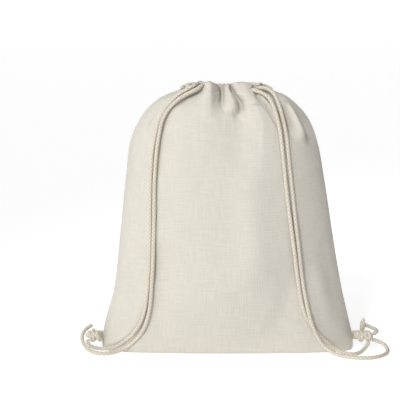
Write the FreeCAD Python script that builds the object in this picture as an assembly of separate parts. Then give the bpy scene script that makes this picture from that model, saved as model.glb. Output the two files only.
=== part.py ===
import FreeCAD, Part
import math
import os
from FreeCAD import Vector

# A drawstring backpack: two cloth panels sewn together at the sides and the bottom, a casing (hem tunnel)
# round the mouth, two cords that each run right round the casing, and shoulder straps made by the two
# ends of each cord, knotted at a cloth tab in each bottom corner.  It stands stuffed and drawn closed.
# X is right, -Y is the wearer's side, where the straps lie, and Z is up.  All sizes are in millimetres.

cloth = 1.2                      # wall of a panel, a ply of cloth and its stiffening
cord_diameter = 5.5
thread_diameter = 0.9
seam_allowance = 8.0

# Cross-sections of the filled bag: height, left edge, right edge, half depth, fullness (1 is an ellipse,
# more than 1 is a lens with pointed ends).
sections = [
    (0.0, -171.0, 171.0, 33.0, 1.20),
    (9.0, -175.0, 175.0, 40.0, 1.20),
    (36.0, -171.5, 170.5, 52.0, 1.15),
    (87.0, -158.0, 158.5, 68.0, 1.10),
    (162.0, -149.0, 145.0, 78.0, 1.05),
    (238.0, -141.0, 132.5, 74.0, 1.00),
    (288.0, -135.0, 123.0, 64.0, 1.00),
    (322.0, -121.0, 110.0, 51.0, 0.95),
    (347.0, -99.0, 88.0, 38.0, 0.90),
    (356.0, -80.0, 70.0, 30.0, 0.85),
    (361.0, -58.0, 53.0, 21.0, 0.80),
]

# The casing is a flat-sided ring: two straight stretches joined by half circles.
casing_centre_x = -2.0
casing_half_straight = 33.0
casing_cord_radius = 19.0        # to the line that the cords follow
casing_channel = 7.0             # width of the tunnel, across the wall
casing_bottom = 354.0
casing_stitch_line = 360.8
casing_top = 376.4
left_cord_level = 372.0
right_cord_level = 365.4
exit_left = (-48.0, -33.0)       # gaps where the cords leave the casing, from x to x
exit_right = (29.0, 44.0)
stitch_pitch = 5.5
stitch_length = 3.6

# Corner tabs: a strip folded round an eye and sewn into the side seam.
tab_root_x = 176.3
tab_eye = (187.5, -3.5)
tab_eye_radius = 3.4
tab_bottom = 12.0
tab_height = 12.0

# Routes of the cords, from the casing down.  The strap of each shoulder is two strands side by side.
left_inner_shoulder = [
    (-36, -19.5, 371), (-38, -27, 368.5), (-46, -31.5, 364.5), (-55, -32.5, 360), (-64, -32.5, 355),
    (-73, -34, 348), (-82, -36.5, 338), (-88.5, -40, 327),
]
left_inner_strap = [
    (-91, -42.5, 318.5), (-94, -46.5, 303), (-97, -52, 282), (-99, -56, 255), (-100, -59.5, 226),
    (-100, -61.5, 195), (-101, -62.5, 164), (-102, -61, 133), (-104, -57, 104), (-105.5, -53, 80),
    (-108.5, -49, 60), (-113, -44, 43.5), (-120, -38.5, 29), (-129, -33.5, 18), (-139, -31, 9),
    (-149, -34, 4.5), (-158, -40, 3.2), (-166.5, -44.5, 3.2), (-176, -45, 3.2), (-185, -40.5, 3.4),
    (-193, -32.5, 5), (-199, -25, 9), (-202.5, -18.5, 14.5), (-203, -12.5, 20), (-200.5, -6.5, 25),
    (-196, -1, 28.5), (-190.5, 3, 31),
]
left_outer_shoulder = [
    (-43, -19.5, 371), (-46, -26, 371), (-54, -28.5, 368), (-62.5, -28, 364), (-71, -28, 358.5),
    (-80, -29.5, 350), (-89, -32.5, 339), (-95.5, -36, 327),
]
left_outer_strap = [
    (-98, -38, 318.5), (-101, -42.5, 303), (-104, -48, 282), (-105, -52.5, 255), (-106, -56.5, 226),
    (-106, -58.5, 195), (-106.5, -59.5, 164), (-107.5, -58, 133), (-109.5, -54, 103), (-112, -50.5, 80),
    (-115.5, -46.5, 60), (-121.5, -41, 43), (-130, -35.5, 29.5), (-140, -29.5, 18.5), (-151, -25, 9.5),
    (-162, -22, 4.5), (-171.5, -21, 3.3), (-180, -22, 3.8), (-188, -23.8, 6.2), (-194, -22.5, 10.5),
    (-195.5, -19.5, 15.5),
]
right_inner_shoulder = [
    (32, -19.5, 365.4), (34, -27.8, 364), (41, -32, 361), (48.5, -34.5, 355), (55, -38.5, 345),
    (61, -43, 333), (65, -46, 322.5),
]
right_inner_strap = [
    (67.5, -48.5, 315), (70, -53, 300), (72, -58, 279), (75, -62.5, 251), (78.5, -65.5, 220),
    (83, -67, 187), (88, -66.5, 152), (92.5, -63, 119), (97, -58.5, 90), (102, -53.5, 68),
    (108.5, -48, 52), (117, -42, 39), (126.5, -36.5, 27.5), (136, -32.5, 17.5), (144.5, -31.5, 9.5),
    (152, -35, 4.8), (159.5, -41.5, 3.3), (166, -46.5, 3.2), (173, -47.5, 3.2), (179, -43.5, 3.2),
    (183.5, -37, 3.4), (188, -31, 5.5), (192.5, -26.5, 9), (195.5, -23.5, 13),
]
right_outer_shoulder = [
    (39, -19.5, 365.4), (42, -26.5, 368), (50, -29, 366), (56.5, -31, 359), (62.5, -35, 348),
    (68.5, -39.5, 335), (72.5, -42, 323),
]
right_outer_strap = [
    (75, -45, 315), (77.5, -50, 300), (79.5, -55.5, 279), (82.5, -60, 251), (86, -63, 220),
    (90, -65, 186), (94.5, -64, 151), (98.5, -61, 118), (103, -58, 91), (107, -57.3, 73),
    (111, -55.5, 56.5), (116, -50.3, 41.5), (122, -44.5, 28.5), (128.5, -40.5, 17), (136, -40.5, 8.5),
    (144.5, -46.5, 4.2), (153, -54.5, 3.2), (163.5, -61.5, 3.2), (176.5, -66, 3.2), (190, -67, 3.2),
    (202, -62.5, 3.2), (212, -53.5, 3.2), (219, -42, 3.2), (221.5, -31, 4.4), (219.5, -23, 8),
    (213.5, -18.5, 11.5), (206.5, -17.5, 14), (201, -17.5, 15.5),
]
left_tail = [(-187.5, -3.5, 9.5), (-187.5, -3.5, 19), (-187.9, -3, 27.5)]
right_tail = [(187.5, -3.5, 9.5), (187.5, -3.5, 27), (190, -6.5, 44)]
right_long_tail = [
    (188, 4.5, 33), (195, 2.5, 31), (202, -2, 29), (207.5, -7.5, 27), (208, -13.5, 25), (203, -17, 24),
]

left_knot_centre = Vector(-186, -17, 20.5)
right_knot_centre = Vector(189.5, -17, 20.5)
knot_ring = 5.4                  # radius of a turn of the knot, to the middle of the cord
knot_cord = 3.1                  # radius of the cord where the knot squeezes it
knot_pitch = 5.6


def save(name, shape):
    shape.exportStep("parts/%s.step" % name)
    print("%-28s %10.1f mm3  %d solid(s)" % (name, shape.Volume, len(shape.Solids)))


def box(low, high):
    size = [b - a for a, b in zip(low, high)]
    return Part.makeBox(size[0], size[1], size[2], Vector(*low))


def shell_section(row, side):
    """The wall of one panel, cut at one height: outer curve, seam edge, inner curve, seam edge."""
    height, left, right, depth, fullness = row
    curves = []
    for inset in (0.0, cloth):
        middle = (left + right) / 2
        half = (right - left) / 2 - inset
        points = []
        for step in range(17):
            angle = math.pi * step / 16
            y = side * (depth - inset) * math.sin(angle) ** fullness
            points.append(Vector(middle - half * math.cos(angle), y, height))
        curve = Part.BSplineCurve()
        curve.interpolate(points)
        curves.append((curve.toShape(), points))
    (outer, outer_points), (inner, inner_points) = curves
    first = Part.makeLine(inner_points[0], outer_points[0])
    last = Part.makeLine(outer_points[-1], inner_points[-1])
    return Part.Wire([first, outer, last, inner.reversed()])


def panel(side):
    """One cloth panel with its half of the flat base."""
    wall = Part.makeLoft([shell_section(row, side) for row in sections], True, False)
    height, left, right, depth, fullness = sections[0]
    points = []
    for step in range(17):
        angle = math.pi * step / 16
        y = side * (depth - cloth / 2) * math.sin(angle) ** fullness
        points.append(Vector((left + right) / 2 - (right - left - cloth) / 2 * math.cos(angle), y, 0))
    curve = Part.BSplineCurve()
    curve.interpolate(points)
    outline = Part.Wire([curve.toShape(), Part.makeLine(points[-1], points[0])])
    base = Part.Face(outline).extrude(Vector(0, 0, cloth))
    return wall.fuse(base).cut(ring_column(casing_outer, casing_bottom, casing_top + 20))


def ring_wire(offset, height):
    """The flat-sided ring at some offset from its two end centres."""
    left = casing_centre_x - casing_half_straight
    right = casing_centre_x + casing_half_straight
    return Part.Wire([
        Part.makeLine(Vector(left, -offset, height), Vector(right, -offset, height)),
        Part.Arc(Vector(right, -offset, height), Vector(right + offset, 0, height),
                 Vector(right, offset, height)).toShape(),
        Part.makeLine(Vector(right, offset, height), Vector(left, offset, height)),
        Part.Arc(Vector(left, offset, height), Vector(left - offset, 0, height),
                 Vector(left, -offset, height)).toShape(),
    ])


def ring_column(offset, bottom, top):
    return Part.Face(ring_wire(offset, bottom)).extrude(Vector(0, 0, top - bottom))


def ring_band(inner, outer, bottom, top):
    return ring_column(outer, bottom, top).cut(ring_column(inner, bottom - 1, top + 1))


casing_outer = casing_cord_radius + casing_channel / 2 + cloth
casing_inner = casing_cord_radius - casing_channel / 2 - cloth


def casing_ring():
    """The folded hem: a closed tunnel above the stitch line, and a skirt below it that meets the panels."""
    tunnel = ring_band(casing_inner, casing_outer, casing_stitch_line, casing_top)
    channel = ring_band(casing_inner + cloth, casing_outer - cloth, casing_stitch_line + cloth,
                        casing_top - cloth)
    skirt = ring_band(casing_outer - cloth, casing_outer, casing_bottom, casing_stitch_line)
    return tunnel.cut(channel).fuse(skirt).removeSplitter()


def casings():
    ring = casing_ring()
    low_y = -casing_outer - 1
    strap_side = box((exit_left[1], low_y, casing_bottom - 1), (exit_right[0], 0, casing_top + 1))
    back = ring.common(strap_side)
    front = ring.cut(strap_side)
    for gap in (exit_left, exit_right):
        front = front.cut(box((gap[0], low_y, casing_stitch_line), (gap[1], 0, casing_top + 1)))
    return back, front


def cord_run_in_casing(level, gap):
    """A cord's way right round the casing, from one side of its exit to the other."""
    wire = ring_wire(casing_cord_radius, level)
    start = Vector(casing_centre_x - casing_half_straight, -casing_cord_radius, level)
    circle = Part.Wire(Part.makeCircle(cord_diameter / 2, start, Vector(1, 0, 0)))
    tube = wire.makePipeShell([circle], True, False)
    return tube.cut(box((gap[0], -40, level - 10), (gap[1], -5, level + 10)))


def cord_path(route, name):
    """Straight runs joined by tangent arcs, each as large as its two runs allow."""
    points = [Vector(*point) for point in route]
    radii = []
    edges = []
    here = points[0]
    for before, corner, after in zip(points, points[1:], points[2:]):
        incoming = (corner - before).normalize()
        outgoing = (after - corner).normalize()
        turn = incoming.getAngle(outgoing)
        reach = 0.45 * min((corner - before).Length, (after - corner).Length)
        radii.append(reach / math.tan(turn / 2))
        start = corner - incoming * reach
        end = corner + outgoing * reach
        middle_way = (outgoing - incoming).normalize()
        middle = corner + middle_way * (radii[-1] / math.cos(turn / 2) - radii[-1])
        edges.append(Part.LineSegment(here, start).toShape())
        edges.append(Part.Arc(start, middle, end).toShape())
        here = end
    edges.append(Part.LineSegment(here, points[-1]).toShape())
    path = Part.Wire(edges)
    print("%-28s length %6.1f  smallest radius %5.1f" % (name, path.Length, min(radii)))
    return path


def cord(route, name):
    path = cord_path(route, name)
    start = Vector(*route[0])
    direction = Vector(*route[1]) - start
    circle = Part.Wire(Part.makeCircle(cord_diameter / 2, start, direction))
    tube = path.makePipeShell([circle], True, False)
    expected = math.pi * (cord_diameter / 2) ** 2 * path.Length
    print("%-28s volume over section x length %.4f" % (name, tube.Volume / expected))
    return tube


def knot(centre, turns):
    """An overhand knot drawn tight: turns of cord side by side, leaning one way and then the other."""
    half = knot_pitch * (turns - 1) / 2
    body = Part.makeCylinder(knot_ring, 2 * half + knot_cord, centre - Vector(half + knot_cord / 2, 0, 0),
                             Vector(1, 0, 0))
    for turn in range(turns):
        lean = math.radians(16 if turn % 2 else -16)
        axis = Vector(math.cos(lean), 0, math.sin(lean))
        place = centre + Vector(turn * knot_pitch - half, 0, 0)
        body = body.fuse(Part.makeTorus(knot_ring, knot_cord, place, axis))
    return body


def corner_tab(side):
    """A strip of the bag's cloth folded round an eye, with its root at the side seam."""
    eye = Vector(side * tab_eye[0], tab_eye[1], tab_bottom)
    loop = Part.makeCylinder(tab_eye_radius + cloth, tab_height, eye)
    root = Vector(side * tab_root_x, 0, tab_bottom)
    along = (eye - root).normalize()
    across = Vector(-along.y, along.x, 0) * cloth
    tip = eye
    outline = Part.makePolygon([root + across, tip + across, tip - across, root - across, root + across])
    plies = Part.Face(outline).extrude(Vector(0, 0, tab_height))
    hole = Part.makeCylinder(tab_eye_radius, tab_height + 2, eye - Vector(0, 0, 1))
    return loop.fuse(plies).cut(hole).removeSplitter()


def thread_stitch(middle, direction, length):
    direction = Vector(direction).normalize()
    return Part.makeCylinder(thread_diameter / 2, length, middle - direction * (length / 2), direction)


def casing_stitches(side, low_x, high_x):
    """Stitches along one straight side of the casing, just above its stitch line."""
    y = side * (casing_outer + thread_diameter / 2)
    count = int((high_x - low_x) / stitch_pitch)
    first = (low_x + high_x) / 2 - stitch_pitch * (count - 1) / 2
    stitches = []
    for index in range(count):
        middle = Vector(first + index * stitch_pitch, y, casing_stitch_line + cloth / 2)
        stitches.append(thread_stitch(middle, Vector(1, 0, 0), stitch_length))
    return Part.makeCompound(stitches)


def seam_curve(side, inset, top):
    """The inside of the side seam, moved in by inset, from the base up."""
    column = 1 if side < 0 else 2
    points = [Vector(row[column] - side * inset, 0, row[0]) for row in sections if row[0] <= top]
    points[0].z = cloth
    curve = Part.BSplineCurve()
    curve.interpolate(points)
    return curve


def side_allowance(side, panels):
    """The two raw edges of a side seam, sewn together and lying inside the bag."""
    outer = seam_curve(side, cloth, 347)
    inner = seam_curve(side, cloth + seam_allowance, 347)
    ends = [Part.makeLine(outer.StartPoint, inner.StartPoint), Part.makeLine(outer.EndPoint, inner.EndPoint)]
    outline = Part.Wire([outer.toShape(), ends[1], inner.toShape().reversed(), ends[0]])
    strip = Part.Face(outline).extrude(Vector(0, 2 * cloth, 0))
    strip.translate(Vector(0, -cloth, 0))
    return largest(strip.cut(panels[0]).cut(panels[1]))


def largest(shape):
    return max(shape.Solids, key=lambda solid: solid.Volume)


def side_thread(side):
    """The line of stitches that holds a side seam, on the allowance's wearer's side."""
    curve = seam_curve(side, cloth + seam_allowance * 0.45, 347)
    y = -cloth - thread_diameter / 2
    stitches = []
    edge = curve.toShape()
    count = int(edge.Length / (2 * stitch_pitch)) - 2
    for index in range(count):
        along = edge.getParameterByLength((index + 1.5) * 2 * stitch_pitch)
        middle = edge.valueAt(along) + Vector(0, y, 0)
        stitches.append(thread_stitch(middle, edge.tangentAt(along), stitch_length * 2))
    return Part.makeCompound(stitches)


def bottom_allowance(panels):
    half = -sections[0][1] - cloth - seam_allowance - 1
    strip = box((-half, -cloth, cloth), (half, cloth, cloth + seam_allowance))
    return largest(strip.cut(panels[0]).cut(panels[1]))


def bottom_thread():
    half = -sections[0][1] - 16
    count = int(2 * half / (2 * stitch_pitch))
    stitches = []
    for index in range(count):
        x = (index - (count - 1) / 2) * 2 * stitch_pitch
        middle = Vector(x, -cloth - thread_diameter / 2, cloth + seam_allowance * 0.45)
        stitches.append(thread_stitch(middle, Vector(1, 0, 0), stitch_length * 2))
    return Part.makeCompound(stitches)


def tab_bar_tack(side):
    """Three stitches across the tab's two plies, between its root and its eye."""
    eye = Vector(side * tab_eye[0], tab_eye[1], 0)
    root = Vector(side * tab_root_x, 0, 0)
    along = (eye - root).normalize()
    out = Vector(along.y, -along.x, 0) * side
    stitches = []
    for index in range(3):
        height = tab_bottom + tab_height * (index + 1) / 4
        middle = root + along * 3.4 + out * (cloth + thread_diameter / 2) + Vector(0, 0, height)
        stitches.append(thread_stitch(middle, along, 4.0))
    return Part.makeCompound(stitches)


os.makedirs("parts", exist_ok=True)

back_panel = panel(-1)
front_panel = panel(1)
panels = (back_panel, front_panel)
back_casing, front_casing = casings()

save("back_panel", back_panel)
save("front_panel", front_panel)
save("back_casing", back_casing)
save("front_casing", front_casing)
save("left_side_seam", side_allowance(-1, panels))
save("right_side_seam", side_allowance(1, panels))
save("bottom_seam", bottom_allowance(panels))
save("left_side_stitching", side_thread(-1))
save("right_side_stitching", side_thread(1))
save("bottom_stitching", bottom_thread())
save("back_casing_stitching", casing_stitches(-1, exit_left[1] + 2, exit_right[0] - 2))
save("front_casing_stitching", casing_stitches(1, casing_centre_x - casing_half_straight,
                                               casing_centre_x + casing_half_straight))
save("left_cord_in_casing", cord_run_in_casing(left_cord_level, exit_left))
save("right_cord_in_casing", cord_run_in_casing(right_cord_level, exit_right))

routes = {
    "left_inner_shoulder_cord": left_inner_shoulder,
    "left_outer_shoulder_cord": left_outer_shoulder,
    "right_inner_shoulder_cord": right_inner_shoulder,
    "right_outer_shoulder_cord": right_outer_shoulder,
    "left_inner_strap_cord": left_inner_strap,
    "left_outer_strap_cord": left_outer_strap,
    "right_inner_strap_cord": right_inner_strap,
    "right_outer_strap_cord": right_outer_strap,
    "left_tail": left_tail,
    "right_tail": right_tail,
    "right_long_tail": right_long_tail,
}
for name, route in routes.items():
    save(name, cord(route, name))

save("left_knot", knot(left_knot_centre, 3))
save("right_knot", knot(right_knot_centre, 4))
save("left_corner_tab", corner_tab(-1))
save("right_corner_tab", corner_tab(1))
save("left_tab_stitching", tab_bar_tack(-1))
save("right_tab_stitching", tab_bar_tack(1))
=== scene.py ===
import math
import random

import bpy
import numpy as np
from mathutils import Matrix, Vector, kdtree


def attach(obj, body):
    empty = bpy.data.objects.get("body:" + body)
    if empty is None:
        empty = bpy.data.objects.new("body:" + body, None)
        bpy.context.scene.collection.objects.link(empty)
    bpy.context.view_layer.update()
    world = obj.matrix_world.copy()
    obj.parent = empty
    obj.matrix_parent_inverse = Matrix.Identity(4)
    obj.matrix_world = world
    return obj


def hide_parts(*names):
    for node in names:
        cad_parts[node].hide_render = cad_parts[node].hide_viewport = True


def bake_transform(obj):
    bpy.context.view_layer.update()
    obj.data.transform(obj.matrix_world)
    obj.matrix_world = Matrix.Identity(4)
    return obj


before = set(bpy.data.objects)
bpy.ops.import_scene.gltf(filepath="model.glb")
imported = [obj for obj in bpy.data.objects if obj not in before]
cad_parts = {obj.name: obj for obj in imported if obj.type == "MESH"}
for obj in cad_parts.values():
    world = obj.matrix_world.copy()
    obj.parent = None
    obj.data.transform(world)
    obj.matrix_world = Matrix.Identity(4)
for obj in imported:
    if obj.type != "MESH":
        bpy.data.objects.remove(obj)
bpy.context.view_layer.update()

mm = 0.001


def linear(hexColour):
    # sRGB hex to the linear numbers that shaders take
    parts = [int(hexColour[i:i + 2], 16) / 255 for i in (0, 2, 4)]
    return [p / 12.92 if p <= 0.04045 else ((p + 0.055) / 1.055) ** 2.4 for p in parts] + [1.0]


def addNode(tree, kind, settings=None, links=None):
    # settings go on sockets by name or number, or on the node's own properties; links are (socket, source output)
    node = tree.nodes.new(kind)
    for key, value in (settings or {}).items():
        if isinstance(key, str) and hasattr(node, key):
            setattr(node, key, value)
        else:
            node.inputs[key].default_value = value
    for key, source in (links or {}).items():
        tree.links.new(source, node.inputs[key])
    return node


def newMaterial(name):
    material = bpy.data.materials.new(name)
    material.use_nodes = True
    material.node_tree.nodes.clear()
    return material, material.node_tree


def meshPiece(name, points, faces, uvs, material):
    mesh = bpy.data.meshes.new(name)
    mesh.from_pydata([tuple(p) for p in points], [], faces)
    layer = mesh.uv_layers.new(name="cloth")
    corner = np.empty(len(mesh.loops), np.int32)
    mesh.loops.foreach_get("vertex_index", corner)
    layer.data.foreach_set("uv", np.asarray(uvs, np.float32)[corner].ravel())
    mesh.polygons.foreach_set("use_smooth", [True] * len(mesh.polygons))
    piece = bpy.data.objects.new(name, mesh)
    bpy.context.scene.collection.objects.link(piece)
    mesh.materials.append(material)
    return piece


def applyModifier(piece, kind, **settings):
    modifier = piece.modifiers.new(kind.title(), kind)
    for key, value in settings.items():
        setattr(modifier, key, value)
    bpy.ops.object.select_all(action="DESELECT")
    bpy.context.view_layer.objects.active = piece
    piece.select_set(True)
    bpy.ops.object.modifier_apply(modifier=modifier.name)


def gridFaces(rows, columns, closed=False):
    faces = []
    for row in range(rows - 1):
        for column in range(columns if closed else columns - 1):
            nextColumn = (column + 1) % columns
            faces.append((row * columns + column, row * columns + nextColumn,
                          (row + 1) * columns + nextColumn, (row + 1) * columns + column))
    return faces


clothLook = {
    "threadSpacing": 2.8 * mm,     # the real threads are about 0.6 mm apart, too fine to show, so coarser
    "thread": "C8C3B9",
    "slub": "B7B2A6",
    "pale": "D5D1C8",
}


def linenLookCloth(name, onUv=True):
    # matt plain-weave polyester made to look like linen: uneven threads, thicker slubs both ways, no gloss
    material, tree = newMaterial(name)
    if onUv:
        place = addNode(tree, "ShaderNodeUVMap", {"uv_map": "cloth"}).outputs["UV"]
    else:
        place = addNode(tree, "ShaderNodeTexCoord").outputs["Object"]
    turns = math.pi / clothLook["threadSpacing"] / 10
    warpThreads = addNode(tree, "ShaderNodeTexWave", {"bands_direction": "X", "Scale": turns, "Distortion": 1.2,
                          "Detail": 2.0, "Detail Scale": 2.0}, {"Vector": place})
    weftThreads = addNode(tree, "ShaderNodeTexWave", {"bands_direction": "Y", "Scale": turns, "Distortion": 1.2,
                          "Detail": 2.0, "Detail Scale": 2.0}, {"Vector": place})
    weave = addNode(tree, "ShaderNodeMath", {"operation": "MULTIPLY"},
                    {0: warpThreads.outputs["Fac"], 1: weftThreads.outputs["Fac"]})
    streaks = []
    for stretch, scale in (((1.0, 20.0, 1.0), 40.0), ((20.0, 1.0, 1.0), 34.0)):
        scaled = addNode(tree, "ShaderNodeMapping", {"Scale": stretch}, {"Vector": place})
        noise = addNode(tree, "ShaderNodeTexNoise", {"Scale": scale, "Detail": 3.0, "Roughness": 0.6},
                        {"Vector": scaled.outputs["Vector"]})
        streaks.append(addNode(tree, "ShaderNodeMapRange", {"From Min": 0.36, "From Max": 0.66},
                               {"Value": noise.outputs["Fac"]}))
    slubs = addNode(tree, "ShaderNodeMix", {"data_type": "FLOAT", 0: 0.45},
                    {2: streaks[0].outputs[0], 3: streaks[1].outputs[0]})
    tint = addNode(tree, "ShaderNodeMix", {"data_type": "RGBA", 6: linear(clothLook["slub"]),
                   7: linear(clothLook["pale"])}, {0: slubs.outputs[0]})
    base = addNode(tree, "ShaderNodeMix", {"data_type": "RGBA", "blend_type": "MIX", 0: 0.52,
                   7: linear(clothLook["thread"])}, {6: tint.outputs[2]})
    darker = addNode(tree, "ShaderNodeMapRange", {"From Min": 0.0, "From Max": 0.9, "To Min": 0.968, "To Max": 1.01},
                     {"Value": weave.outputs[0]})
    colour = addNode(tree, "ShaderNodeMix", {"data_type": "RGBA", "blend_type": "MULTIPLY", 0: 1.0},
                     {6: base.outputs[2], 7: darker.outputs[0]})
    height = addNode(tree, "ShaderNodeMath", {"operation": "MULTIPLY_ADD", 1: 0.5},
                     {0: slubs.outputs[0], 2: weave.outputs[0]})
    bump = addNode(tree, "ShaderNodeBump", {"Strength": 0.3, "Distance": 0.4 * mm},
                   {"Height": height.outputs[0]})
    shader = addNode(tree, "ShaderNodeBsdfPrincipled", {"Roughness": 0.92, "Specular IOR Level": 0.25,
                     "Sheen Weight": 0.12, "Sheen Roughness": 0.5},
                     {"Base Color": colour.outputs[2], "Normal": bump.outputs[0]})
    addNode(tree, "ShaderNodeOutputMaterial", {}, {"Surface": shader.outputs[0]})
    return material


cordLook = {"yarn": "DCD5C8", "shadedYarn": "B3A995", "yarnSpacing": 1.4 * mm}


def braidedCottonCord():
    # soft-spun cotton braid: fuzzy, matt, a little yellower than the cloth, with painted shade darkening the grooves
    # of the braid
    material, tree = newMaterial("braidedCotton")
    uv = addNode(tree, "ShaderNodeUVMap", {"uv_map": "cloth"})
    depth = addNode(tree, "ShaderNodeAttribute", {"attribute_name": "groove"})
    fibre = addNode(tree, "ShaderNodeTexNoise", {"Scale": 1 / cordLook["yarnSpacing"], "Detail": 3.0},
                    {"Vector": uv.outputs["UV"]})
    # painted shade: the deeper a point lies in the braid's grooves, the more it takes the darker shadedYarn colour
    colour = addNode(tree, "ShaderNodeMix", {"data_type": "RGBA", 6: linear(cordLook["yarn"]),
                     7: linear(cordLook["shadedYarn"])}, {0: depth.outputs["Fac"]})
    mottled = addNode(tree, "ShaderNodeMix", {"data_type": "RGBA", "blend_type": "MULTIPLY", 0: 0.16},
                      {6: colour.outputs[2], 7: fibre.outputs["Color"]})
    bump = addNode(tree, "ShaderNodeBump", {"Strength": 0.4, "Distance": 0.4 * mm}, {"Height": fibre.outputs["Fac"]})
    shader = addNode(tree, "ShaderNodeBsdfPrincipled", {"Roughness": 0.95, "Specular IOR Level": 0.2,
                     "Sheen Weight": 0.2, "Sheen Roughness": 0.6},
                     {"Base Color": mottled.outputs[2], "Normal": bump.outputs[0]})
    addNode(tree, "ShaderNodeOutputMaterial", {}, {"Surface": shader.outputs[0]})
    return material


def spunThread():
    # polyester sewing thread: fine, matt, close to the cloth's colour
    material, tree = newMaterial("spunPolyesterThread")
    place = addNode(tree, "ShaderNodeTexCoord")
    twist = addNode(tree, "ShaderNodeTexNoise", {"Scale": 900.0, "Detail": 1.0}, {"Vector": place.outputs["Object"]})
    colour = addNode(tree, "ShaderNodeMix", {"data_type": "RGBA", 6: linear("D8D0BE"), 7: linear("EEE9DE")},
                     {0: twist.outputs["Fac"]})
    shader = addNode(tree, "ShaderNodeBsdfPrincipled", {"Roughness": 0.7, "Specular IOR Level": 0.35},
                     {"Base Color": colour.outputs[2]})
    addNode(tree, "ShaderNodeOutputMaterial", {}, {"Surface": shader.outputs[0]})
    return material


cloth = linenLookCloth("linenLookWeave")
seamCloth = linenLookCloth("linenLookSeamWeave", onUv=False)
cotton = braidedCottonCord()
thread = spunThread()
print("materials made")


camera = {
    "target": Vector((-0.0386, 0.0, 0.2096)),
    "distance": 2.0,
    "elevation": math.radians(10),
    "millimetresAcross": 1.38,      # what one of 400 columns spans at the target
}


def placeCamera():
    data = bpy.data.cameras.new("studioCamera")
    data.sensor_width = 36.0
    focalColumns = camera["distance"] / (camera["millimetresAcross"] * mm)
    data.lens = focalColumns * data.sensor_width / 400
    data.clip_end = 20
    piece = bpy.data.objects.new("studioCamera", data)
    bpy.context.scene.collection.objects.link(piece)
    back = Vector((0, -math.cos(camera["elevation"]), math.sin(camera["elevation"])))
    piece.location = camera["target"] + back * camera["distance"]
    piece.rotation_euler = (math.radians(90) - camera["elevation"], 0, 0)
    bpy.context.scene.camera = piece


placeCamera()


cordDiameter = 5.5 * mm

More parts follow.
